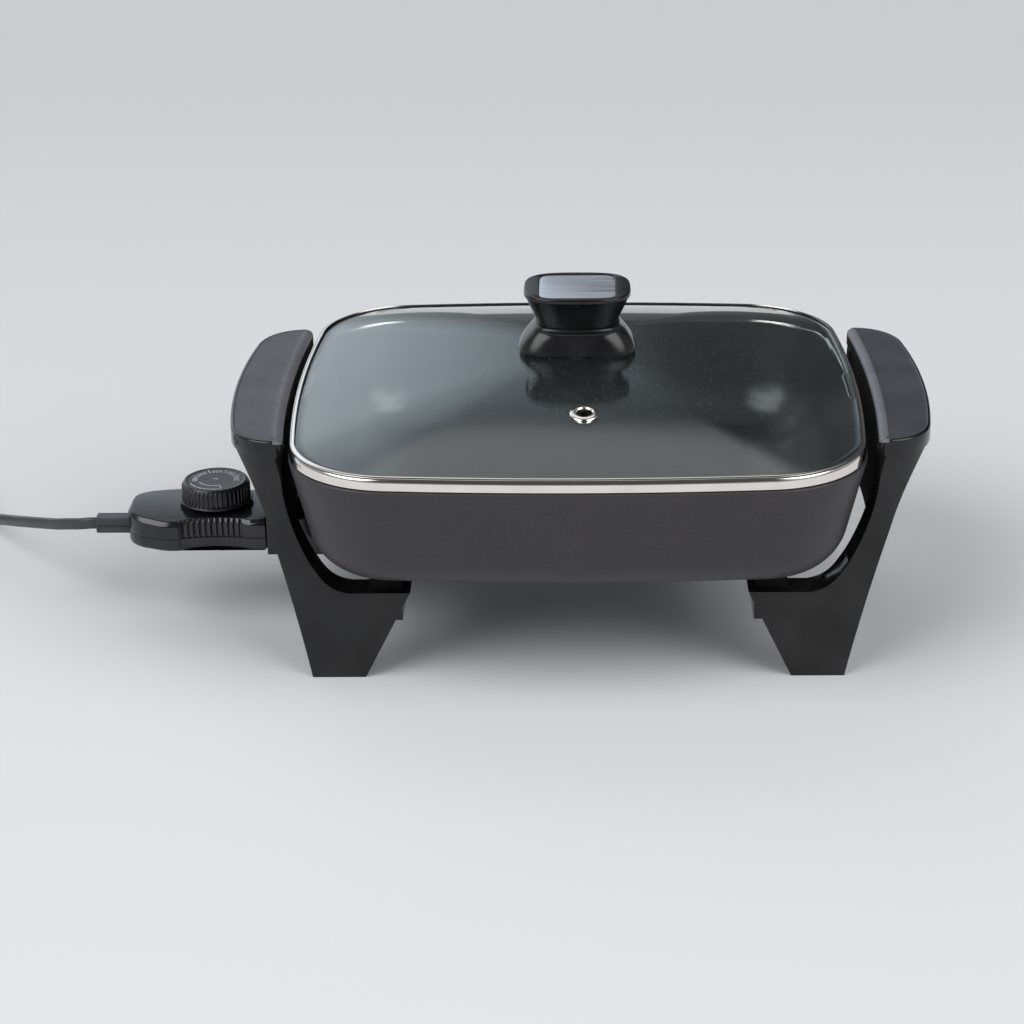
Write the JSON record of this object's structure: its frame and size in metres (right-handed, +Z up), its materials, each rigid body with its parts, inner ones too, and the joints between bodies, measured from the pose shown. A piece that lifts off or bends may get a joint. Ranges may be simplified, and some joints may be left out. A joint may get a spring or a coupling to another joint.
{
  "type": "electric skillet",
  "caption": "Rectangular electric skillet with a lift-off domed glass lid, two handle brackets that are also its feet, and a plug-in temperature control with a dial and a cord",
  "frame": {"origin": "centre of the stance on the counter, below the middle of the pan", "axes": "+X from the control side to the far handle, +Y from the front to the back, +Z up"},
  "size_m": [0.6797, 0.3455, 0.1989],
  "materials": {
    "nonstick_coating": "fine speckled satin nonstick coating on die-cast aluminium",
    "dark_phenolic": "satin dark grey moulded heat-resistant plastic",
    "gloss_phenolic": "glossy black moulded heat-resistant plastic",
    "control_plastic": "semi-gloss black moulded plastic",
    "tempered_glass": "clear tempered glass with a green edge",
    "polished_stainless": "polished stainless steel",
    "brushed_insert": "straight-grained brushed steel",
    "silicone_gasket": "matte black silicone",
    "element_sheath": "heat-dulled metal tube",
    "ceramic": "off-white steatite ceramic",
    "nickel_steel": "nickel-plated steel",
    "zinc_steel": "zinc-plated steel",
    "terminal_brass": "bright brass",
    "contact_bronze": "phosphor bronze",
    "moulded_insulator": "brown moulded phenolic",
    "lead_sleeving": "white woven glass sleeving",
    "cord_vinyl": "dark grey flexible vinyl",
    "tie_rubber": "black rubber band"
  },
  "bodies": {
    "base": {"pan": "nonstick_coating", "heating_element": "element_sheath", "element_insulators": "ceramic", "element_terminal_pins": "nickel_steel", "socket_guard": "dark_phenolic", "guard_screws": "zinc_steel", "left_bracket": "dark_phenolic", "right_bracket": "dark_phenolic", "bracket_screws": "zinc_steel", "bracket_washers": "zinc_steel"},
    "lid": {"lid_glass": "tempered_glass", "lid_rim": "polished_stainless", "vent_grommet": "polished_stainless", "knob_gasket": "silicone_gasket", "knob_base": "gloss_phenolic", "knob_grip": "gloss_phenolic", "knob_insert": "brushed_insert", "knob_washer": "polished_stainless", "knob_screw": "zinc_steel"},
    "control": {"control_upper_housing": "control_plastic", "control_lower_housing": "control_plastic", "housing_screws": "zinc_steel", "terminal_block": "moulded_insulator", "socket_terminals": "terminal_brass", "probe_tube": "nickel_steel", "probe_rod": "contact_bronze", "thermostat_frame": "zinc_steel", "contact_leaves": "contact_bronze", "leaf_spacers": "ceramic", "stack_rivet": "zinc_steel", "internal_leads": "lead_sleeving", "strain_relief": "control_plastic", "power_cord": "cord_vinyl", "cord_tail": "cord_vinyl", "cord_coil": "cord_vinyl", "cord_tie": "tie_rubber", "plug": "cord_vinyl", "plug_blades": "terminal_brass"},
    "dial": {"control_dial": "control_plastic", "dial_shaft": "nickel_steel"}
  },
  "joints": [
    {"name": "lid_lift", "type": "slide", "parent": "base", "child": "lid", "axis": [0, 0, 1], "range_m": [0, 0.12]},
    {"name": "control_pull", "type": "slide", "parent": "base", "child": "control", "axis": [-1, 0, 0], "range_m": [0, 0.075]},
    {"name": "dial_turn", "type": "hinge", "parent": "control", "child": "dial", "pos_m": [-0.211, 0, 0.07], "axis": [0, 0, -1], "range_deg": [0, 290]}
  ]
}
